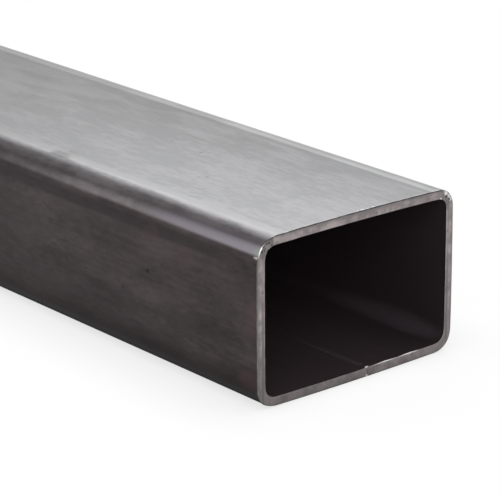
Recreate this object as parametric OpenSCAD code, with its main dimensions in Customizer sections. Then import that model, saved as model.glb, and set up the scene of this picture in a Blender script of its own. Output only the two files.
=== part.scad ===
// Rectangular steel tube: a sawn length of electric-welded mild steel, 3 in by 2 in, 11 gauge wall.
// It lies along X on one of its wide walls, and the origin is under its middle.

/* [Section] */
// Width over the two short walls, along Y
outer_w = 76.2; // [50:0.1:120]
// Height over the two wide walls, along Z
outer_h = 50.8; // [30:0.1:90]
// Thickness of the wall
wall = 3.05; // [1.5:0.05:4]
// Outside radius of the four rolled corners
corner_r = 7; // [4.5:0.1:12]

/* [Length] */
// Length from one sawn end to the other, along X
tube_length = 609.6; // [100:0.1:3000]

/* [Weld seam] */
// Distance of the seam from the middle of the bottom wall, along Y
seam_y = 3.6; // [-10:0.1:10]
// Width of the bead that the weld leaves inside, where it meets the wall
bead_w = 2.6; // [1.2:0.1:5]
// Height of that bead above the inside of the bottom wall
bead_h = 0.5; // [0.2:0.05:0.6]

/* [Sawn ends] */
// Width of the chamfer filed round the outside edge of each end
edge_break = 0.3; // [0.1:0.05:1]

/* [Hidden] */

// Mill-finish steel
steel_colour = [0.44, 0.42, 0.41];
// Sides of a full circle
$fn = 96;
// How far the bore's cutter runs past each end
cut_past = 1;

inner_w = outer_w - 2 * wall;
inner_h = outer_h - 2 * wall;
// The wall keeps its thickness round the corners
inner_r = corner_r - wall;
// Radius of the arc that stands bead_h high on a chord of bead_w
bead_r = (pow(bead_w / 2, 2) + pow(bead_h, 2)) / (2 * bead_h);

// Rectangle round the origin with its four corners rounded
module rounded_rectangle(width, height, radius) {
    square([width - 2 * radius, height], center = true);
    square([width, height - 2 * radius], center = true);
    for (side = [-1, 1], level = [-1, 1])
        translate([side * (width / 2 - radius), level * (height / 2 - radius)])
            circle(r = radius);
}

// Slab lying round the origin along X, its two ends chamfered on the edges along Z
module chamfered_slab(length, width, thickness, chamfer) {
    x = length / 2;
    y = width / 2;
    linear_extrude(thickness, center = true)
        polygon([
            [-x + chamfer, -y],
            [x - chamfer, -y],
            [x, -y + chamfer],
            [x, y - chamfer],
            [x - chamfer, y],
            [-x + chamfer, y],
            [-x, y - chamfer],
            [-x, -y + chamfer]
        ]);
}

// Round bar lying round the origin along X, its two ends chamfered
module chamfered_bar(length, radius, chamfer) {
    x = length / 2;
    rotate([0, 90, 0])
        rotate_extrude()
            polygon([
                [0, -x],
                [radius - chamfer, -x],
                [radius, -x + chamfer],
                [radius, x - chamfer],
                [radius - chamfer, x],
                [0, x]
            ]);
}

// The outside of the tube: a flat slab and an upright one that cross, and a bar in each corner
module outer_block() {
    flat_w = outer_w - 2 * corner_r;
    flat_h = outer_h - 2 * corner_r;
    chamfered_slab(tube_length, outer_w, flat_h, edge_break);
    rotate([90, 0, 0])
        chamfered_slab(tube_length, outer_h, flat_w, edge_break);
    for (side = [-1, 1], level = [-1, 1])
        translate([0, side * flat_w / 2, level * flat_h / 2])
            chamfered_bar(tube_length, corner_r, edge_break);
}

// Section of the bore, with the weld bead standing in its floor
module bore_section() {
    difference() {
        rounded_rectangle(inner_w, inner_h, inner_r);
        translate([seam_y, -inner_h / 2 + bead_h - bead_r])
            circle(r = bead_r);
    }
}

module rectangular_tube() {
    color(steel_colour)
        translate([0, 0, outer_h / 2])
            difference() {
                outer_block();
                rotate([90, 0, 90])
                    linear_extrude(tube_length + 2 * cut_past, center = true)
                        bore_section();
            }
}

rectangular_tube();
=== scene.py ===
"""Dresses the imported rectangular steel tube: one mesh in four kinds of steel, a floor, lamps and a camera.

The frame is the row's: +X along the tube, towards the sawn end that the camera sees, +Y across it, away
from the camera, and +Z up. "Near" is the side of -Y and "far" that of +Y. Lengths are in millimetres, and
are multiplied by MM where Blender takes metres.
"""
from collections import namedtuple
import math

import bpy
import numpy as np
from mathutils import Matrix, Vector, noise


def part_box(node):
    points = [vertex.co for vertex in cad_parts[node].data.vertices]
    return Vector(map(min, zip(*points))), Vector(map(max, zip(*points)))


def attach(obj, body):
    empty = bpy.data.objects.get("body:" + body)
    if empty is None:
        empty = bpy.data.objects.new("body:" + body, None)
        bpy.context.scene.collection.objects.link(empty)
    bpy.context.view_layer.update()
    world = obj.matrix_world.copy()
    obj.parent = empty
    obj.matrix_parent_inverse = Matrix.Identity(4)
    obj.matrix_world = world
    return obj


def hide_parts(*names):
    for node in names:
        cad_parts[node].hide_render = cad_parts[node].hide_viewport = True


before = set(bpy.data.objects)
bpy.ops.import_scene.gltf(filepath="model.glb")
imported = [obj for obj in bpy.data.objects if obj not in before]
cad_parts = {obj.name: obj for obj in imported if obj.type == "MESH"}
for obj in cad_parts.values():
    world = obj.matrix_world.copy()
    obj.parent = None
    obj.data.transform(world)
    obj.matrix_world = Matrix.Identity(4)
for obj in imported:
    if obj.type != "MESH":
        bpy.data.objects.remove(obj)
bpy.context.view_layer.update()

MM = 0.001

# Section, as in the solid
LOW, HIGH = (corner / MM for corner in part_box("rectangular_tube"))
SEAM_Y = 3.6
BEAD_WIDTH = 2.6
BEAD_HEIGHT = 0.5
EDGE_BREAK = 0.3

# What rolling and welding leave: shallow waves, and walls of slightly different thickness, bowed outwards
# between the corners
WALL = {"near": 2.89, "far": 2.85, "bottom": 2.8, "top": 2.67}
BOW_WIDE = 0.32
BOW_SHORT = 0.1
ROLLED_WAVE = 0.03
OUTER_RADII = {"far_bottom": 6.2, "far_top": 5.6, "near_top": 7.0, "near_bottom": 6.7}
INNER_RADII = {"far_bottom": 3.8, "far_top": 3.2, "near_top": 3.8, "near_bottom": 3.6}
# The rolled corners aren't quite round: 0 would be an arc, and with 1 they would start with no curve at all
CORNER_EASE = 0.4

# A knock has thrown metal up along a slanting line on the near top corner: the line's middle, with x from the
# sawn end in view, how far it runs towards -X for each step towards +Y, and the size of the metal
KNOCK_X, KNOCK_Y = -94.8, -30.0
KNOCK_SLANT = 1.2
KNOCK_HEIGHT, KNOCK_HALF_WIDTH, KNOCK_HALF_LENGTH = 0.08, 3.0, 3.5
# Where the rings of points stand close together for it
KNOCK_STRETCH = (-106.0, -82.0)

# What the saw leaves: each cut leans a little, and stands furthest out at the bottom of the near side
SAW_LEAN = 0.7
SAW_SKEW = 0.35
SAW_SCORE = 0.03
# It pushes metal outwards at the near bottom corner of the end in view: place (y, z), reach and size
FLARE_PLACE = (-37.3, 3.2)
FLARE_REACH = 3.0
FLARE_SIZE = 0.3
# It pushes metal into the bore along the bottom wall: y, half length and share of each stretch of this burr
BURR_STRETCHES = ((20.5, 3.6, 1.0), (11.5, 3.0, 0.95), (6.0, 3.0, 0.25))
# Round the broken edge, from the outside to the cut: angle in degrees, and how much bareness shows there
EDGE_PROFILE = ((0, 0.0), (30, 0.4), (60, 1.0), (90, 0.55))
# Into the bore: distance from the cut, and how much of the burr stands there. The bore's finish starts where
# BURR_END or less is left of it
BURR_PROFILE = ((0.2, 0.9), (0.4, 0.45), (0.7, 0.1))
BURR_END = 0.2

# Bare places on the cuts' edges: a glint round the near top corner of the cut in view, in degrees from level
# and as a share, and spots on both cuts, each with its place (y, z), reach and share
# The glint is bare metal and also a painted highlight
GLINT_MIDDLE, GLINT_HALF_WIDTH, GLINT_SHARE = 29, 12, 1.6
BARE_SPOTS = (((34.9, 50.0), 0.9, 0.8), ((36.9, 48.3), 0.8, 0.7), ((36.0, 2.5), 5.0, 0.15))

# Marks that the photograph shows, on the top at (x, y) and on the near side at (x, z), with x from the sawn
# end in view: place, half length, half width, and depth of colour from 0 to 1
DARK_ON_TOP = (
    ((-100.4, -26.5), 1.1, 0.7, 0.6),
    ((-100.8, -30.2), 6.0, 2.8, 0.7),
    ((-89.2, 3.9), 1.2, 0.9, 0.65),
    ((-74.1, 2.9), 1.1, 0.8, 0.65),
    ((-70.9, -8.6), 3.0, 0.7, 0.25),
    ((-55.0, -13.6), 0.9, 0.7, 0.45),
    ((-53.6, -11.6), 0.9, 0.7, 0.45),
    # The three broad patches from here on are painted shade
    ((-80.0, -24.0), 45.0, 9.0, 0.1),
    ((-25.0, 25.0), 38.0, 6.0, 0.13),
    ((-205.0, 25.5), 50.0, 7.0, 0.5),
)
DARK_ON_NEAR_SIDE = (
    # The first two, broad patches are painted shade
    ((-132.0, 28.0), 52.0, 17.0, 0.25),
    ((-24.0, 17.5), 27.0, 6.5, 0.25),
    ((-95.7, 32.6), 1.8, 0.9, 0.35),
    ((-87.7, 21.9), 1.1, 0.7, 0.3),
    ((-73.0, 18.6), 8.0, 2.0, 0.25),
    ((-60.5, 20.9), 0.8, 0.5, 0.35),
    ((-48.6, 28.8), 1.0, 0.7, 0.8),
    ((-42.1, 32.4), 0.8, 0.7, 0.35),
)
RUST_ON_NEAR_SIDE = (
    ((-46.6, 41.0), 4.5, 3.5, 0.3),
    ((-32.1, 38.0), 4.0, 4.5, 0.3),
    ((-4.0, 8.2), 4.5, 3.5, 0.7),
    ((-3.0, 27.0), 2.5, 8.0, 0.4),
    ((-105.0, 5.0), 14.0, 3.0, 0.35),
)
# Torn places on the top beside the cut: y and half length
TORN_ON_TOP = ((1.9, 0.9), (0.2, 0.4), (6.2, 0.6), (31.6, 0.6))
# Chips and pits at the cut's far top corner: place (y, z), half width, half height, colour
CHIPS = (
    ((34.9, 49.1), 1.1, 0.9, (0.76, 0.71, 0.73)),
    ((36.0, 48.1), 0.7, 0.9, (0.62, 0.61, 0.61)),
    ((36.7, 47.0), 0.8, 0.8, (0.62, 0.61, 0.61)),
    ((32.8, 47.5), 0.5, 0.6, (0.85, 0.80, 0.82)),
    ((34.9, 48.0), 0.6, 0.4, (0.02, 0.015, 0.017)),
    ((36.1, 47.0), 0.6, 0.4, (0.06, 0.06, 0.06)),
)

# Points round the section and over the cut
CORNER_STEPS = 16
SHORT_WALL_STEPS = 24
WIDE_WALL_STEPS = 40
SEAM_STEPS = 24
FACE_STEPS = 6
# Short steps in which a corner's curve is worked out, for each of its points
FINE_STEPS = 40
# Reach beside the seam in which points lie closer together, in widths of the bead
SEAM_REACH = 1.2
# Spacing of the rings of points along the outside and round the knock, and how far from the ends they start
OUTSIDE_SPACING, KNOCK_SPACING, OUTSIDE_MARGIN = 8, 1, 4
# Spacing of the rings in each end of the bore, that end's length, the spacing in the bore's middle, and how
# far from the ends the rings start
BORE_END_SPACING, BORE_END_LENGTH, BORE_SPACING, BORE_MARGIN = 1.5, 100, 5, 3
# Distances of the last rings on the outside from the broken edge
BEFORE_EDGE = (2.0, 1.0, 0.4)
# How far the first ring on the cut lies from the broken edge, and how far the last is set back at the bore
CUT_MARGIN, CUT_SETBACK = 0.08, 0.06
# Faces that meet at a larger angle than this, in degrees, have a sharp edge between them
SHARP_ANGLE = 50

# Materials' places in the mesh's list
MILL, INSIDE, SAWN, EDGE = range(4)

# Camera: focal length in pixels of the 500-pixel photograph, then angles in degrees, and place from the foot
# of the sawn end in view
IMAGE_WIDTH = 500
FOCAL_PIXELS = 2444.5
SENSOR_WIDTH = 36.0
CAMERA_AZIMUTH = 49.29
CAMERA_ELEVATION = 18.956
CAMERA_ROLL = -0.21
CAMERA_FROM_END = Vector((474.52, -449.35, 263.66))

# Share of the floor's white that doesn't depend on the light, and what is left of it where the tube covers
# the whole sky, each as the camera sees it and in reflections
FLOOR_GLOW = (0.96, 0.8)
CONTACT_WHITE = (0.75, -0.6)
# How near the tube it fades
CONTACT_REACH = 25
FLOOR_COLOUR = 0.92
FLOOR_REACH = 20000
# The world's strength as it lights things, and as the camera and reflections see it
WORLD_STRENGTH = (0.65, 1.0)


# Section outlines

def outline(low, high, radii):
    """Closed outline of the section in (y, z), counter-clockwise as seen from the sawn end in view.

    low and high are the outline's furthest places. The walls bow out to them between the corner arcs."""
    reach = sum(corner_curve(0, math.pi / 2, radius)[-1, 1] for radius in radii.values()) / len(radii)
    tilt_wide = math.atan(4 * BOW_WIDE / (high[0] - low[0] - 2 * reach))
    tilt_short = math.atan(4 * BOW_SHORT / (high[1] - low[1] - 2 * reach))
    corners = []
    for turn, name in enumerate(("far_bottom", "far_top", "near_top", "near_bottom"), start=-1):
        y_edge = high[0] - BOW_SHORT if name.startswith("far") else low[0] + BOW_SHORT
        z_edge = high[1] - BOW_WIDE if name.endswith("top") else low[1] + BOW_WIDE
        tilt_before, tilt_after = (tilt_wide, tilt_short) if turn % 2 else (tilt_short, tilt_wide)
        start = turn * math.pi / 2 + tilt_before
        curve = corner_curve(start, (turn + 1) * math.pi / 2 - tilt_after, radii[name])
        # The wide wall meets the corner at z_edge, and the short wall at y_edge
        wide_end, short_end = (0, -1) if turn % 2 else (-1, 0)
        corners.append(curve + [y_edge - curve[short_end, 0], z_edge - curve[wide_end, 1]])
    pieces = []
    for index, fractions in enumerate(wall_fractions()):
        tilt = tilt_wide if index % 2 else tilt_short
        pieces.append(corners[index])
        pieces.append(bowed_wall(corners[index][-1], corners[(index + 1) % 4][0], tilt, fractions))
    return np.concatenate(pieces)


def corner_curve(start, end, radius):
    """Points round a corner from (0, 0), along which the outward normal turns from start to end.

    The curve is tightest in its middle, and cuts as far across the corner as an arc of the given radius."""
    part = np.linspace(0, 1, FINE_STEPS * CORNER_STEPS + 1)
    eased = part - CORNER_EASE * np.sin(2 * math.pi * part) / (2 * math.pi)
    middle = start + (end - start) * (eased[1:] + eased[:-1]) / 2
    steps = np.stack([-np.sin(middle), np.cos(middle)], axis=1) / len(middle)
    curve = np.concatenate([[(0, 0)], np.cumsum(steps, axis=0)])
    along_start = np.array([-math.sin(start), math.cos(start)])
    half_chord = np.linalg.norm(curve[-1]) / 2
    apex = along_start * half_chord / math.cos((end - start) / 2)
    gap = np.linalg.norm(apex - curve[len(curve) // 2])
    arc_gap = radius * (1 / math.cos((end - start) / 2) - 1)
    return curve[::FINE_STEPS] * arc_gap / gap


def bowed_wall(start, end, tilt, fractions):
    """Points on a shallow curve from start to end, which it leaves and meets at the angle tilt."""
    along = end - start
    outward = np.array([along[1], -along[0]])
    middle = (start + end) / 2 + outward * math.tan(tilt) / 2
    t = fractions[:, None]
    return (1 - t) ** 2 * start + 2 * t * (1 - t) * middle + t ** 2 * end


def between(start, end, count):
    """Evenly spaced numbers from start to end, with the end left out."""
    return np.linspace(start, end, count, endpoint=False)


def wall_fractions():
    """Fractions of the far, top, near and bottom wall at which points lie, closer beside the seam."""
    half_flat = (HIGH.y - LOW.y) / 2 - OUTER_RADII["near_bottom"]
    seam_start = (SEAM_Y - SEAM_REACH * BEAD_WIDTH + half_flat) / (2 * half_flat)
    seam_end = (SEAM_Y + SEAM_REACH * BEAD_WIDTH + half_flat) / (2 * half_flat)
    short_wall = between(0, 1, SHORT_WALL_STEPS)[1:]
    wide_wall = between(0, 1, WIDE_WALL_STEPS)[1:]
    seam_wall = np.concatenate([
        between(0, seam_start, WIDE_WALL_STEPS // 2)[1:],
        between(seam_start, seam_end, SEAM_STEPS),
        between(seam_end, 1, WIDE_WALL_STEPS // 2),
    ])
    return short_wall, wide_wall, short_wall, seam_wall


def outward_normals(points):
    """Unit normal in (y, z) at each point of a closed counter-clockwise outline."""
    along = np.roll(points, -1, axis=0) - np.roll(points, 1, axis=0)
    normals = np.stack([along[:, 1], -along[:, 0]], axis=1)
    return normals / np.linalg.norm(normals, axis=1)[:, None]


def on_bottom_wall(z):
    """Whether a point of the bore's outline is on its floor, and not on a side or on its top."""
    return z < LOW.z + 1.5 * WALL["bottom"]


# Small unevenness, all of it a fixed function of place

def ripple(place, cell, seed):
    """Smooth noise from -1 to 1 at a place (x, y, z), changing over the three lengths in cell."""
    x, y, z = (length / size for length, size in zip(place, cell))
    return noise.noise(Vector((x + seed, y + 1.7 * seed, z - seed)))


def ripple_along(distance, length, seed):
    """Smooth noise from -1 to 1 along one line, changing over length."""
    return ripple((distance, 0, 0), (length, 1, 1), seed)


def hill(distance, width):
    """1 where distance is 0, falling smoothly to nothing over about twice the width."""
    return math.exp(-(distance / width) ** 2)


def rolled_dip(x, y, z):
    """How far the rolled outer surface lies inside its nominal outline."""
    dip = ROLLED_WAVE * (1 + ripple((x, y, z), (160, 30, 30), 0.4))
    if z > HIGH.z / 2 and y < 0:
        dip -= knock(x - HIGH.x, y)
    return dip


def knock(x, y):
    """Height of the metal that the knock has thrown up at a place. x is from the sawn end in view."""
    across = x - KNOCK_X + KNOCK_SLANT * (y - KNOCK_Y)
    return KNOCK_HEIGHT * hill(across, KNOCK_HALF_WIDTH) * hill(y - KNOCK_Y, KNOCK_HALF_LENGTH)


def bead_rise(x, y):
    """Height of the weld bead over the bottom wall: two ragged lips along a wandering seam."""
    seam = SEAM_Y + 0.3 * ripple_along(x, 40, 3.1)
    rise = 0.0
    for lip, seed in ((-1, 5.3), (1, 8.9)):
        place = seam + lip * BEAD_WIDTH * (0.19 + 0.06 * ripple_along(x, 6, seed))
        size = 0.7 + 0.4 * ripple_along(x, 9, seed + 2) + 0.2 * ripple_along(x, 2.5, seed + 4)
        rise += min(1.0, max(0.3, size)) * hill(y - place, 0.14 * BEAD_WIDTH)
    return BEAD_HEIGHT * min(1.0, rise)


def burr(y, z, seed):
    """How far the saw has pushed metal into the bore at one place of an end's inner edge."""
    size = 0.04 + 0.05 * ripple((y, z, 0), (4, 4, 1), seed)
    if on_bottom_wall(z):
        size += 0.22 * burr_share(y) * (1 + 0.4 * ripple_along(y, 1.5, seed + 2))
        size += 0.16 * hill(y - SEAM_Y, 0.35)
    return max(0.0, size)


def burr_share(y):
    """Size of the burr at one place along the bottom wall, from 0 to about 1."""
    return sum(share * hill(y - middle, half_length) for middle, half_length, share in BURR_STRETCHES)


def flare(front, y, z):
    """How far the saw has pushed an end's outer edge outwards."""
    if not front:
        return 0.0
    return FLARE_SIZE * hill(math.hypot(y - FLARE_PLACE[0], z - FLARE_PLACE[1]), FLARE_REACH)


def saw_depth(front, y, z):
    """How far the leaning, scored saw cut lies inside the tube's nominal end."""
    across = (y - LOW.y) / (HIGH.y - LOW.y)
    upward = (z - LOW.z) / (HIGH.z - LOW.z)
    score = SAW_SCORE * (1 + ripple((y, z, 0), (0.9, 9, 1), 4.0 if front else 14.0))
    return SAW_SKEW * across + SAW_LEAN * upward + score


def outer_bareness(front, y, z):
    """1 where an end's outer edge is rubbed or torn bright or holds the painted glint, and 0 where it is as
    dark as the mill finish.
    """
    radius = OUTER_RADII["near_top"]
    across = LOW.y + radius - y
    above = z - (HIGH.z - radius)
    bare = 0.0
    # The glint: bare metal placed only round the part of the corner where the highlight shows, a painted
    # highlight
    if front and across > 0 and above > 0:
        angle = math.degrees(math.atan2(above, across))
        bare = min(1.0, GLINT_SHARE * hill(angle - GLINT_MIDDLE, GLINT_HALF_WIDTH))
    for (spot_y, spot_z), reach, share in BARE_SPOTS:
        bare += share * hill(math.hypot(y - spot_y, z - spot_z), reach)
    # Bright where the seam comes out, and grey on the short walls and the bottom
    if z < LOW.z + 2:
        bare += 0.9 * hill(y - SEAM_Y, 0.6)
    if z < HIGH.z - 6:
        bare += 0.13
    return min(1.0, bare + 0.3 * max(0.0, ripple((y, z, 0), (1.6, 1.6, 1), 21.0)))


def inner_bareness(y, z):
    """1 where an end's inner edge is torn bright, and 0 where it isn't: along the burr, and at the seam."""
    if not on_bottom_wall(z):
        return 0.0
    return min(1.0, burr_share(y) * (0.8 + 0.3 * ripple_along(y, 1.2, 23.0)) + hill(y - SEAM_Y, 0.33))


def edge_rub(y, z):
    """How bright the top is scraped in a narrow strip beside the saw cut, from 0 to 1."""
    if z < HIGH.z - 2:
        return 0.0
    return min(1.0, max(0.0, ripple_along(y, 2.2, 31.0) + 0.3 * hill(y + 28, 5)))


# The tube's mesh

# x for each point or for all, the points in (y, z), the material of the faces that lead to the ring, and how
# bare the points are
Ring = namedtuple("Ring", "x section material bareness")


class Tube:
    """The tube's two outlines, and the rings of points that its surface is made of."""

    def __init__(self):
        self.outer = outline((LOW.y, LOW.z), (HIGH.y, HIGH.z), OUTER_RADII)
        self.inner = outline(
            (LOW.y + WALL["near"], LOW.z + WALL["bottom"]),
            (HIGH.y - WALL["far"], HIGH.z - WALL["top"]),
            INNER_RADII,
        )
        self.outer_normals = outward_normals(self.outer)
        self.inner_normals = outward_normals(self.inner)
        self.count = len(self.outer)

    def outside(self, x):
        """The outer outline at x."""
        dips = np.array([rolled_dip(x, y, z) for y, z in self.outer])
        return self.outer - self.outer_normals * dips[:, None]

    def bore(self, x, burr_height=0.0, front=True):
        """The inner outline at x, with the weld bead and a share of the burr that stands at an end."""
        pushes = []
        for y, z in self.inner:
            push = ROLLED_WAVE * ripple((x, y, z), (60, 12, 12), 9.0)
            push += burr_height * burr(y, z, 11.0 if front else 17.0)
            if on_bottom_wall(z):
                push += bead_rise(x, y)
            pushes.append(push)
        return self.inner - self.inner_normals * np.array(pushes)[:, None]

    def lip_bareness(self, x):
        """How much of the weld bead's lips there is at each point of the inner outline, from 0 to 1."""
        lips = [bead_rise(x, y) / BEAD_HEIGHT for y in self.inner[:, 0]]
        return np.where(on_bottom_wall(self.inner[:, 1]), lips, 0.0)

    def end_rings(self, front):
        """The rings of one sawn end, from the outside to the bore."""
        plane, inward = (HIGH.x, -1) if front else (LOW.x, 1)
        unflared = self.outside(plane)
        flares = np.array([flare(front, y, z) for y, z in self.outer])
        outside = unflared + self.outer_normals * flares[:, None]
        across = self.bore(plane, 1.0, front) - outside
        thickness = np.linalg.norm(across, axis=1)
        outer_bare = np.array([outer_bareness(front, y, z) for y, z in self.outer])
        inner_bare = np.array([inner_bareness(y, z) for y, z in self.inner])
        rubbed = np.array([edge_rub(y, z) for y, z in self.outer])
        rings = []

        def under_surface(depth):
            """The section that lies at a depth below the outer surface."""
            return outside + across * (depth / thickness)[:, None]

        def add(section, inset, material, bareness=0.0):
            """Adds a ring that lies inset behind the saw cut."""
            cut = np.array([saw_depth(front, y, z) for y, z in section])
            rings.append(Ring(plane + inward * (cut + inset), section, material, bareness))

        for before_edge in BEFORE_EDGE:
            add(unflared, EDGE_BREAK + before_edge, MILL)
        for degrees, share in EDGE_PROFILE:
            angle = math.radians(degrees)
            section = under_surface(EDGE_BREAK * (1 - math.cos(angle)))
            material, bareness = (EDGE, share * outer_bare) if degrees else (MILL, rubbed)
            add(section, EDGE_BREAK * (1 - math.sin(angle)), material, bareness)
        add(under_surface(EDGE_BREAK + CUT_MARGIN), 0.0, SAWN)
        for fraction in between(0, 1, FACE_STEPS)[1:]:
            add(under_surface(EDGE_BREAK + (thickness - EDGE_BREAK) * fraction), 0.0, SAWN)
        add(under_surface(thickness), CUT_SETBACK, SAWN, inner_bare)
        for inset, share in BURR_PROFILE:
            section = self.bore(plane + inward * inset, share, front)
            add(section, inset, EDGE if share > BURR_END else INSIDE, inner_bare * share)
        return rings

    def rings(self):
        """All the rings: along the outside, over the cut in view, through the bore and over the other cut."""
        knock_start, knock_end = (HIGH.x + place for place in KNOCK_STRETCH)
        along_outside = stations(
            (LOW.x + OUTSIDE_MARGIN, knock_start, OUTSIDE_SPACING),
            (knock_start, knock_end, KNOCK_SPACING),
            (knock_end, HIGH.x - OUTSIDE_MARGIN, OUTSIDE_SPACING),
        )
        low_end, high_end = LOW.x + BORE_END_LENGTH, HIGH.x - BORE_END_LENGTH
        through_bore = stations(
            (LOW.x + BORE_MARGIN, low_end, BORE_END_SPACING),
            (low_end, high_end, BORE_SPACING),
            (high_end, HIGH.x - BORE_MARGIN, BORE_END_SPACING),
        )[::-1]
        outside = [Ring(x, self.outside(x), MILL, 0.0) for x in along_outside]
        bore = [Ring(x, self.bore(x), INSIDE, self.lip_bareness(x)) for x in through_bore]
        # Over the other cut, faces have the material of the ring that they start from
        back = self.end_rings(False)[::-1]
        materials = [INSIDE] + [ring.material for ring in back[:-1]]
        back = [ring._replace(material=material) for ring, material in zip(back, materials)]
        return outside + self.end_rings(True) + bore + back

    def surface(self):
        """Vertices, quads, the quads' materials and the vertices' bareness, as one closed surface."""
        rings = self.rings()
        quads = []
        materials = []
        for index in range(len(rings)):
            following = (index + 1) % len(rings)
            materials += [rings[following].material] * self.count
            for point in range(self.count):
                beside = (point + 1) % self.count
                quads.append((
                    index * self.count + point,
                    index * self.count + beside,
                    following * self.count + beside,
                    following * self.count + point,
                ))
        places = [np.column_stack([np.broadcast_to(ring.x, self.count), ring.section]) for ring in rings]
        bareness = [np.broadcast_to(ring.bareness, self.count) for ring in rings]
        return np.concatenate(places), quads, materials, np.concatenate(bareness)


def stations(*stretches):
    """Places along the tube, from stretches of (start, end, spacing) that follow on each other."""
    places = [between(start, end, round((end - start) / spacing)) for start, end, spacing in stretches]
    return np.concatenate(places + [[stretches[-1][1]]])


# Node trees

class Nodes:
    """A node tree, with one short call for each kind of node that is used here."""

    def __init__(self, tree):
        self.tree = tree

    def add(self, kind, **values):
        """A new node, with values for the sockets that they name."""
        node = self.tree.nodes.new(kind)
        for name, value in values.items():
            self.feed(value, node.inputs[name])
        return node

    def feed(self, value, socket):
        """Links value to socket where it is another node's output, and otherwise sets it there."""
        if isinstance(value, bpy.types.NodeSocket):
            self.tree.links.new(value, socket)
        elif isinstance(value, tuple) and socket.type == "RGBA":
            socket.default_value = (*value, 1.0)
        else:
            socket.default_value = value

    def feed_all(self, values, sockets):
        """Feeds the values to the sockets in order."""
        for value, socket in zip(values, sockets):
            self.feed(value, socket)

    def math(self, operation, first, second=0.0):
        """The result of one operation on two numbers."""
        node = self.add("ShaderNodeMath")
        node.operation = operation
        self.feed_all((first, second), node.inputs)
        return node.outputs[0]

    def vector_math(self, operation, first, second=(0, 0, 0)):
        """The result of one operation on vectors, which is a number for LENGTH."""
        node = self.add("ShaderNodeVectorMath")
        node.operation = operation
        self.feed_all((first, second), node.inputs)
        return node.outputs["Value" if operation == "LENGTH" else "Vector"]

    def split(self, vector):
        """The x, y and z of a vector."""
        return self.add("ShaderNodeSeparateXYZ", Vector=vector).outputs

    def remap(self, value, low, high, to_low=0.0, to_high=1.0, kind="SMOOTHSTEP"):
        """value taken from low..high to to_low..to_high, held beyond them, and eased unless it is LINEAR."""
        node = self.add("ShaderNodeMapRange")
        node.interpolation_type = kind
        self.feed_all((value, low, high, to_low, to_high), node.inputs)
        return node.outputs[0]

    def band(self, value, low, high, soft):
        """1 where value is between low and high, fading over soft at both."""
        rise = self.remap(value, low - soft, low + soft)
        return self.math("MULTIPLY", rise, self.remap(value, high - soft, high + soft, 1.0, 0.0))

    def mix(self, factor, first, second):
        """A colour between two others."""
        node = self.add("ShaderNodeMix")
        node.data_type = "RGBA"
        self.feed(factor, node.inputs["Factor"])
        self.feed_all((first, second), (socket for socket in node.inputs if socket.type == "RGBA"))
        return next(socket for socket in node.outputs if socket.type == "RGBA")

    def seen_directly(self):
        """1 where the camera, a reflection or a refraction looks, and 0 for other light."""
        path = self.add("ShaderNodeLightPath")
        glossy = self.math("MAXIMUM", path.outputs["Is Camera Ray"], path.outputs["Is Glossy Ray"])
        return self.math("MAXIMUM", glossy, path.outputs["Is Transmission Ray"])


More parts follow.
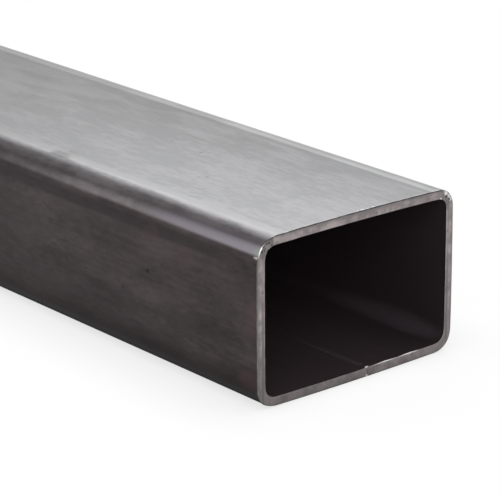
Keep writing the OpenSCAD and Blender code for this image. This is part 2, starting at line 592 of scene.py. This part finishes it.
class Steel(Nodes):
    """A metal's node tree, with its colour so far, and places in it."""

    def __init__(self, name):
        self.material = bpy.data.materials.new(name)
        self.material.use_nodes = True
        super().__init__(self.material.node_tree)
        self.place = self.add("ShaderNodeTexCoord").outputs["Object"]
        # In mm, with x from the sawn end in view
        offset = self.vector_math("SUBTRACT", self.place, (HIGH.x * MM, 0, 0))
        self.from_end = self.vector_math("DIVIDE", offset, (MM, MM, MM))
        self.x, self.y, self.z = self.split(self.from_end)
        self.colour = None

    def tint(self, colour, *shares):
        """Mixes the metal's colour towards another, by the product of the shares."""
        share = shares[0]
        for factor in shares[1:]:
            share = self.math("MULTIPLY", share, factor)
        self.colour = self.mix(share, self.colour, colour)

    def finish(self, **values):
        """The material, with its colour and values on the shader's own sockets."""
        surface = self.tree.nodes["Principled BSDF"]
        for name, value in {"Base Color": self.colour, **values}.items():
            self.feed(value, surface.inputs[name])
        return self.material

    def scaled_place(self, cell, shift):
        """The place in cells, moved by shift so that no two noises are alike."""
        scale = [1 / (length * MM) for length in cell]
        location = (shift, 0.37 * shift, -shift)
        return self.add("ShaderNodeMapping", Vector=self.place, Scale=scale, Location=location).outputs[0]

    def noise(self, cell, detail=3.0, roughness=0.5, shift=0.0):
        """Noise from 0 to 1 that changes over the three lengths in cell, along X, Y and Z."""
        place = self.scaled_place(cell, shift)
        node = self.add("ShaderNodeTexNoise", Vector=place, Scale=1.0, Detail=detail, Roughness=roughness)
        return node.outputs["Fac"]

    def specks(self, cell, size, shift=0.0):
        """1 inside small specks, about one to each cell, and 0 elsewhere. size is a share of the cell."""
        node = self.add("ShaderNodeTexVoronoi", Vector=self.scaled_place(cell, shift), Scale=1.0)
        return self.remap(node.outputs["Distance"], 0.4 * size, size, 1.0, 0.0)

    def tone(self, gain, *parts):
        """Noises taken together, each with its weight, and their swing about 0.5 multiplied by gain."""
        swing = 0.0
        for part, weight in parts:
            swing = self.math("ADD", swing, self.math("MULTIPLY", self.math("SUBTRACT", part, 0.5), weight))
        return self.math("ADD", 0.5, self.math("MULTIPLY", swing, gain))

    def spot(self, middle, reach, rag=0.5):
        """1 inside an ellipsoid and 0 outside it, with an edge made ragged by rag. x is from the sawn end."""
        offset = self.vector_math("SUBTRACT", self.from_end, middle)
        distance = self.vector_math("LENGTH", self.vector_math("DIVIDE", offset, reach))
        ragged = self.math("ADD", distance, self.math("SUBTRACT", rag, 0.5))
        return self.remap(ragged, 0.5, 1.05, 1.0, 0.0)

    def marks(self, on_top, on_near_side, rag):
        """Depth of colour of the marks on two faces, and 0 beside them."""
        places = [((x, y, HIGH.z), *size) for (x, y), *size in on_top]
        places += [((x, LOW.y, z), *size) for (x, z), *size in on_near_side]
        found = 0.0
        for middle, length, width, depth in places:
            mark = self.math("MULTIPLY", self.spot(middle, (length, width, width), rag), depth)
            found = self.math("MAXIMUM", found, mark)
        return found

    def bump(self, height, distance, **under):
        """A normal that follows height, on top of another bump's Normal where one is given."""
        return self.add("ShaderNodeBump", Height=height, Distance=distance * MM, **under).outputs[0]

    def bareness(self):
        """How bare the mesh says that a place is."""
        node = self.add("ShaderNodeAttribute")
        node.attribute_name = "bare"
        return node.outputs["Fac"]


# Mill finish. A pair of colours is the darkest and the palest of a noise

SIDE_TONES = (0.032, 0.0256, 0.0262), (0.068, 0.0537, 0.0548)
# The top's pair is painted light: the same steel, set darker and greener for how the top is lit
LIT_TOP_TONES = (0.0305, 0.0270, 0.0280), (0.0650, 0.0574, 0.0595)
# A dark tone that paints shade
PAINTED_SHADE = (0.022, 0.018, 0.019)
VIOLET_REFLECTION_TINT = (0.060, 0.0505, 0.0575)
GREY_SCALE = (0.060, 0.059, 0.056)
RUST = (0.064, 0.040, 0.040)
DARK_MARK_AND_SHADE = (0.010, 0.009, 0.009)
PAINTED_SHADE_LINE = (0.012, 0.011, 0.011)
DARK_SPECK = (0.015, 0.013, 0.013)
STRIP_TONES = (0.115, 0.111, 0.110), (0.165, 0.160, 0.158)
PALEST_STRIP = (0.200, 0.194, 0.191)
POLISH_AND_HIGHLIGHT = (0.080, 0.074, 0.070)
RUBBED = (0.13, 0.122, 0.122)
TORN = (0.19, 0.184, 0.180)
SPUR = (0.42, 0.38, 0.36)


def mill_finish():
    """Dark mill finish with a faint brown cast: streaked along the tube, marked, and with painted shade and
    highlights.
    """
    steel = Steel("mill_finish")
    streak = steel.noise((45, 1.5, 1.5), detail=4, roughness=0.6, shift=4)
    grain = steel.noise((4.5, 1.5, 1.5), detail=3, roughness=0.6, shift=12)
    mottle = steel.noise((22, 7, 7), detail=3, shift=5)
    cloud = steel.noise((70, 24, 24), detail=2)
    # The flat of the top shows its grain more than the rolled corners and the sides
    on_top = steel.remap(steel.z, HIGH.z - 7, HIGH.z - 1)
    gain = steel.remap(steel.z, HIGH.z - 3, HIGH.z - 0.6, 1.0, 2.2)
    tone = steel.tone(gain, (streak, 0.55), (grain, 1.2), (mottle, 1.5), (cloud, 0.7))
    # The top takes its own painted-light pair of tones
    steel.colour = steel.mix(on_top, steel.mix(tone, *SIDE_TONES), steel.mix(tone, *LIT_TOP_TONES))

    shade_near_side(steel, grain, mottle)
    # Dark marks, and broad patches of painted shade on the top and near side
    marks_and_shade = steel.marks(DARK_ON_TOP, DARK_ON_NEAR_SIDE, grain)
    steel.tint(RUST, steel.marks((), RUST_ON_NEAR_SIDE, mottle))
    steel.tint(DARK_MARK_AND_SHADE, marks_and_shade)
    steel.tint(DARK_SPECK, steel.specks((9, 6, 6), 0.06), 0.6)
    shade_top_corners(steel, grain, streak, on_top)
    # Painted shade: everything is darker further from the end
    steel.tint(PAINTED_SHADE, steel.remap(steel.x, -220, -60, 0.45, 0.0))
    scrape_edges(steel, grain)

    roughness = steel.remap(cloud, 0.3, 0.7, 0.20, 0.16)
    roughness = steel.math("ADD", roughness, steel.remap(mottle, 0.35, 0.75, -0.02, 0.05))
    roughness = steel.math("ADD", roughness, steel.math("MULTIPLY", marks_and_shade, 0.2))
    relief = steel.bump(mottle, 0.02, Normal=steel.bump(streak, 0.004))
    return steel.finish(Metallic=1.0, Roughness=roughness, Normal=relief)


def shade_near_side(steel, grain, mottle):
    """Darkens the near side with painted shade low down, away from the end, and in a line under its top
    corner.
    """
    steel.tint(PAINTED_SHADE, steel.spot((-125, LOW.y, 9), (125, 12, 17), mottle), 0.4)
    under_corner = steel.band(steel.z, 40.6, 44.2, 0.8)
    steel.tint(PAINTED_SHADE, under_corner, steel.remap(steel.x, -22, -10, 0.65, 0.0))
    # The rolled corner above that gets a faint painted violet reflection towards the end, and is greyer
    # beside the cut
    steel.tint(VIOLET_REFLECTION_TINT, steel.spot((-19, -37, 47.5), (36, 4, 2.6), grain), 0.8)
    steel.tint(GREY_SCALE, steel.spot((-1, -36.5, 47.6), (2.6, 4, 3), grain), 0.8)


def shade_top_corners(steel, grain, streak, on_top):
    """Draws the strips along the two top corners, whose edges wander with streak."""
    # The far one is pale, palest about a decimetre from the end, with a line of painted shade beside it
    across = steel.math("ADD", steel.y, steel.math("MULTIPLY", streak, 1.6))
    steel.tint(PAINTED_SHADE_LINE, steel.band(across, 28.4, 29.6, 0.4), on_top, 0.6)
    palest = steel.math("MULTIPLY", steel.spot((-108, 35, 50), (80, 8, 8)), 0.5)
    strip = steel.mix(palest, steel.mix(grain, *STRIP_TONES), PALEST_STRIP)
    steel.tint(strip, steel.remap(across, 29.9, 30.9), on_top)
    # The near one is polished, and its paler strip is also a painted highlight along the corner
    across = steel.math("ADD", steel.y, steel.math("MULTIPLY", streak, 1.2))
    steel.tint(POLISH_AND_HIGHLIGHT, steel.band(across, -30.4, -26.6, 0.6), on_top, 0.5)


def scrape_edges(steel, grain):
    """Brightens scraped and torn spots on the top beside the cut, and a spur under the glint."""
    steel.tint(RUBBED, steel.remap(steel.bareness(), 0.1, 1.0))
    for y, half_length in TORN_ON_TOP:
        steel.tint(TORN, steel.spot((-1.5, y, 50.6), (0.6, half_length, 1.0), grain), 0.8)
    steel.tint(SPUR, steel.spot((-1.2, LOW.y, 45.1), (1.7, 1.0, 0.5), grain), 0.85)


# Bore

BORE_TONES = (0.068, 0.049, 0.056), (0.120, 0.090, 0.100)
BORE_DUST = (0.19, 0.145, 0.165)
BORE_PAINTED_SHADE = (0.040, 0.029, 0.031)
BORE_PAINTED_SHEEN = (0.16, 0.135, 0.155)
CLEAN_BEAD = (0.19, 0.165, 0.175)


def bore_finish():
    """The inside keeps more scale and dust than the outside, and is duller."""
    steel = Steel("bore_finish")
    blotch = steel.noise((40, 14, 14), detail=4, shift=3)
    grain = steel.noise((9, 1.2, 1.2), detail=3, shift=7)
    steel.colour = steel.mix(blotch, *BORE_TONES)
    # Dustier deep inside, with painted shade on the far wall towards the end, and a painted sheen in the
    # corner under it
    steel.tint(BORE_DUST, steel.remap(steel.x, -150, -50, 0.5, 0.0))
    steel.tint(BORE_PAINTED_SHADE, steel.remap(steel.y, 12, 33, 0.25, 0.75), steel.remap(steel.x, -80, -5))
    steel.tint(BORE_PAINTED_SHEEN, steel.spot((-24, 35, 4.0), (34, 5, 5), blotch), 0.4)
    # The weld bead is cleaner than what is round it near the end
    lips = steel.remap(steel.bareness(), 0.05, 0.9, 0.0, 0.5)
    steel.tint(CLEAN_BEAD, lips, steel.remap(steel.x, -38, -8))
    roughness = steel.remap(blotch, 0.3, 0.7, 0.5, 0.4)
    return steel.finish(Metallic=0.6, Roughness=roughness, Normal=steel.bump(grain, 0.02))


# Sawn ends

SAWN_TONES = (0.235, 0.205, 0.207), (0.430, 0.378, 0.378)
SCORED = (0.16, 0.142, 0.142)
DRAGGED_SCALE = (0.205, 0.189, 0.186)
INNER_SHADE = (0.10, 0.087, 0.088)
CUT_PAINTED_SHADE = (0.13, 0.118, 0.118)
PIT = (0.06, 0.05, 0.05)
SEAM_DARK = (0.07, 0.062, 0.062)
SEAM_BRIGHT = (0.75, 0.73, 0.73)
DULL_CORNER = (0.145, 0.138, 0.138)
CLEAN_CORNER = (0.36, 0.335, 0.333)
HATCHING = (0.03, 0.03, 0.03)
TORN_BARE = (0.80, 0.78, 0.77)
# So long a cell that the noise is the same all through an end
THROUGH = 1000


def sawn_finish():
    """Bare sawn steel, greyed and slightly pink, scored upright by the blade."""
    steel = Steel("sawn_finish")
    score = steel.noise((THROUGH, 0.28, 7), detail=3, shift=1)
    patch = steel.noise((THROUGH, 3.5, 3.5), detail=4, roughness=0.6, shift=5)
    steel.colour = steel.mix(steel.remap(patch, 0.3, 0.7), *SAWN_TONES)
    steel.tint(SCORED, steel.remap(score, 0.5, 0.75, 0.0, 0.5))
    soil_and_shade_cut(steel, patch)
    # The seam is a dark line through the bottom wall, bright where it comes out
    steel.tint(SEAM_DARK, steel.spot((0, 4.1, 1.6), (3, 0.3, 1.0), score), 0.6)
    steel.tint(SEAM_BRIGHT, steel.spot((0, 3.7, 0.45), (3, 0.4, 0.4), score))
    mark_cut_corners(steel, score, patch)
    steel.tint(TORN_BARE, steel.remap(steel.bareness(), 0.05, 0.5))
    return steel.finish(Metallic=1.0, Roughness=0.55, Normal=steel.bump(score, 0.05))


def soil_and_shade_cut(steel, patch):
    """Greys the cut where mill finish has been dragged over it, and adds painted shade and pits."""
    from_near = steel.math("SUBTRACT", steel.y, LOW.y)
    from_sides = steel.math("MINIMUM", from_near, steel.math("SUBTRACT", HIGH.y, steel.y))
    from_outside = steel.math("MINIMUM", from_sides, steel.math("SUBTRACT", HIGH.z, steel.z))
    steel.tint(DRAGGED_SCALE, steel.remap(steel.math("ADD", from_outside, patch), 1.0, 2.0, 0.7, 0.0))
    # The short walls are darker along their inside
    inside = steel.band(from_sides, 1.75, 2.6, 0.2)
    steel.tint(INNER_SHADE, inside, patch, steel.remap(steel.z, 26, 36, 1.0, 0.3))
    # Painted shade, darker low down, less so beyond the seam, and a little on the far half of the top wall
    beside_seam = steel.remap(steel.y, 2, 12, 0.62, 0.5)
    low_down = steel.math("MULTIPLY", steel.remap(steel.z, 6, 30, 1.0, 0.0), beside_seam)
    far_top = steel.math("MULTIPLY", steel.remap(steel.z, 44, 47), steel.remap(steel.y, 12, 20, 0.0, 0.2))
    steel.tint(CUT_PAINTED_SHADE, steel.math("MAXIMUM", low_down, far_top))
    steel.tint(PIT, steel.specks((THROUGH, 1.6, 1.6), 0.2, shift=2), 0.5)


def mark_cut_corners(steel, score, patch):
    """Dulls both top corners, hatches the near one with dark specks, and chips and pits the far one."""
    for y in (-34.8, 34.8):
        steel.tint(DULL_CORNER, steel.spot((0, y, 47.6), (3, 4.6, 4.6), patch), 0.6)
    # The near top corner's inside and the far bottom corner's outside are cleaner
    for middle, reach in (((0, -33.8, 46.7), 2.0), ((0, 38.0, 0.0), 4.5)):
        steel.tint(CLEAN_CORNER, steel.spot(middle, (3, reach, reach), patch), 0.4)
    hatch = steel.specks((THROUGH, 0.65, 0.65), 0.6, shift=6)
    steel.tint(HATCHING, hatch, steel.spot((0, -35.0, 48.6), (3, 3.6, 3.6), patch), 0.9)
    for (y, z), width, height, colour in CHIPS:
        steel.tint(colour, steel.spot((0, y, z), (3, width, height), score))


# Broken edges

EDGE_TONES = (0.060, 0.053, 0.053), (0.85, 0.84, 0.83)


def edge_finish():
    """The broken edge: as dark as the mill finish, and bright where it is rubbed bare and where the glint is
    painted.
    """
    steel = Steel("edge_finish")
    bare = steel.bareness()
    steel.colour = steel.mix(bare, *EDGE_TONES)
    return steel.finish(Metallic=1.0, Roughness=steel.remap(bare, 0.2, 0.9, 0.4, 0.22))


def build_tube():
    """Puts the tube's mesh in the scene, in place of the solid."""
    places, quads, materials, bareness = Tube().surface()
    mesh = bpy.data.meshes.new("steel_tube")
    mesh.from_pydata((np.clip(places, np.array(LOW), np.array(HIGH)) * MM).tolist(), [], quads)
    for make in (mill_finish, bore_finish, sawn_finish, edge_finish):
        mesh.materials.append(make())
    mesh.polygons.foreach_set("material_index", materials)
    mesh.polygons.foreach_set("use_smooth", [True] * len(quads))
    mesh.attributes.new("bare", "FLOAT", "POINT").data.foreach_set("value", bareness)
    mesh.set_sharp_from_angle(angle=math.radians(SHARP_ANGLE))
    tube = bpy.data.objects.new("steel_tube", mesh)
    bpy.context.scene.collection.objects.link(tube)
    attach(tube, "root")
    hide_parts("rectangular_tube")


# Stage: floor, lamps and camera

def turned_to(azimuth, elevation):
    """Unit vector at an azimuth from +X towards +Y and an elevation above the floor, in degrees."""
    flat = math.cos(math.radians(elevation))
    return Vector((
        flat * math.cos(math.radians(azimuth)),
        flat * math.sin(math.radians(azimuth)),
        math.sin(math.radians(elevation)),
    ))


def soft_box(name, distance, azimuths, elevations, radiance, side_fade, end_fades, tint=(1, 1, 1)):
    """A rectangular lamp that faces the sawn end and fades towards its edges.

    azimuths and elevations are its reach in degrees as seen from there. side_fade is the share of its width
    over which it fades at each side, and end_fades the shares of its height at the bottom and at the top."""
    lamp = bpy.data.lights.new(name, "AREA")
    lamp.shape = "RECTANGLE"
    lamp.size = 2 * distance * MM * math.tan(math.radians((azimuths[1] - azimuths[0]) / 2))
    lamp.size_y = 2 * distance * MM * math.tan(math.radians((elevations[1] - elevations[0]) / 2))
    lamp.energy = radiance * math.pi * lamp.size * lamp.size_y
    lamp.color = tint
    lamp.use_nodes = True
    nodes = Nodes(lamp.node_tree)
    across, upward, _ = nodes.split(nodes.add("ShaderNodeNewGeometry").outputs["Parametric"])
    strength = 1.0
    for place, edge, inner in (
        (across, 0.0, side_fade),
        (across, 1.0, 1.0 - side_fade),
        (upward, 0.0, end_fades[0]),
        (upward, 1.0, 1.0 - end_fades[1]),
    ):
        strength = nodes.math("MULTIPLY", strength, nodes.remap(place, edge, inner))
    nodes.feed(strength, lamp.node_tree.nodes["Emission"].inputs["Strength"])
    holder = bpy.data.objects.new(name, lamp)
    towards = turned_to(sum(azimuths) / 2, sum(elevations) / 2)
    holder.location = (Vector((HIGH.x - 60, 0, HIGH.z)) + towards * distance) * MM
    holder.rotation_euler = towards.to_track_quat("Z", "Y").to_euler()
    holder.visible_camera = False
    bpy.context.scene.collection.objects.link(holder)


def light():
    """Puts four soft boxes round the tube."""
    soft_box("back_box", 1700, (109, 165), (12.5, 60), 3.3, 0.45, (0.27, 0.2), (0.94, 0.98, 1.01))
    soft_box("side_box", 1000, (160, 215), (28, 64), 0.7, 0.4, (0.3, 0.3), (0.94, 0.98, 1.0))
    soft_box("front_box", 600, (209, 262), (0.0, 50), 4.4, 0.45, (0.2, 0.3), (0.90, 0.973, 1.0))
    soft_box("key_box", 1800, (-65, -5), (14, 50), 2.2, 0.2, (0.2, 0.2))


def build_world():
    """Even white light from all round, which lights things less than it looks."""
    world = bpy.data.worlds.new("studio")
    bpy.context.scene.world = world
    world.use_nodes = True
    nodes = Nodes(world.node_tree)
    background = world.node_tree.nodes["Background"]
    nodes.feed((1.0, 1.0, 1.0), background.inputs["Color"])
    nodes.feed(nodes.remap(nodes.seen_directly(), 0, 1, *WORLD_STRENGTH), background.inputs["Strength"])


def floor_material():
    """Pale and lit, and white where seen directly. The white fades beside the tube, where a shadow stays."""
    material = bpy.data.materials.new("pale_floor")
    material.use_nodes = True
    material.node_tree.nodes.clear()
    nodes = Nodes(material.node_tree)
    open_sky = nodes.add("ShaderNodeAmbientOcclusion", Distance=CONTACT_REACH * MM).outputs["AO"]
    in_reflection = nodes.add("ShaderNodeLightPath").outputs["Is Glossy Ray"]
    covered = nodes.remap(in_reflection, 0, 1, *CONTACT_WHITE)
    white_left = nodes.math("MAXIMUM", nodes.remap(open_sky, 0, 1, covered, 1, "LINEAR"), 0.0)
    glow = nodes.math("MULTIPLY", nodes.seen_directly(), nodes.remap(in_reflection, 0, 1, *FLOOR_GLOW))
    lit = nodes.add("ShaderNodeBsdfDiffuse", Color=(FLOOR_COLOUR, FLOOR_COLOUR, FLOOR_COLOUR))
    white = nodes.add("ShaderNodeEmission", Strength=white_left)
    blend = nodes.add("ShaderNodeMixShader")
    nodes.feed_all((glow, lit.outputs[0], white.outputs[0]), blend.inputs)
    nodes.add("ShaderNodeOutputMaterial", Surface=blend.outputs[0])
    return material


def build_floor():
    """Puts a floor under the tube that reaches far beyond the picture."""
    reach = FLOOR_REACH * MM
    mesh = bpy.data.meshes.new("floor")
    corners = [(-reach, -reach, 0), (reach, -reach, 0), (reach, reach, 0), (-reach, reach, 0)]
    mesh.from_pydata(corners, [], [(0, 1, 2, 3)])
    mesh.materials.append(floor_material())
    floor = bpy.data.objects.new("floor", mesh)
    bpy.context.scene.collection.objects.link(floor)


def build_camera():
    """Places the camera that was fitted to the photograph."""
    roll = math.radians(CAMERA_ROLL)
    back = turned_to(CAMERA_AZIMUTH - 90, CAMERA_ELEVATION)
    level = Vector((0, 0, 1)).cross(back).normalized()
    right = math.cos(roll) * level - math.sin(roll) * back.cross(level)
    turn = Matrix((right, back.cross(right), back)).transposed()
    place = (Vector((HIGH.x, 0, 0)) + CAMERA_FROM_END) * MM
    data = bpy.data.cameras.new("camera")
    data.sensor_width = SENSOR_WIDTH
    data.lens = SENSOR_WIDTH * FOCAL_PIXELS / IMAGE_WIDTH
    camera = bpy.data.objects.new("camera", data)
    camera.matrix_world = Matrix.Translation(place) @ turn.to_4x4()
    bpy.context.scene.collection.objects.link(camera)
    bpy.context.scene.camera = camera


build_tube()
build_floor()
build_world()
build_camera()
light()
bpy.context.scene.view_settings.view_transform = "Standard"
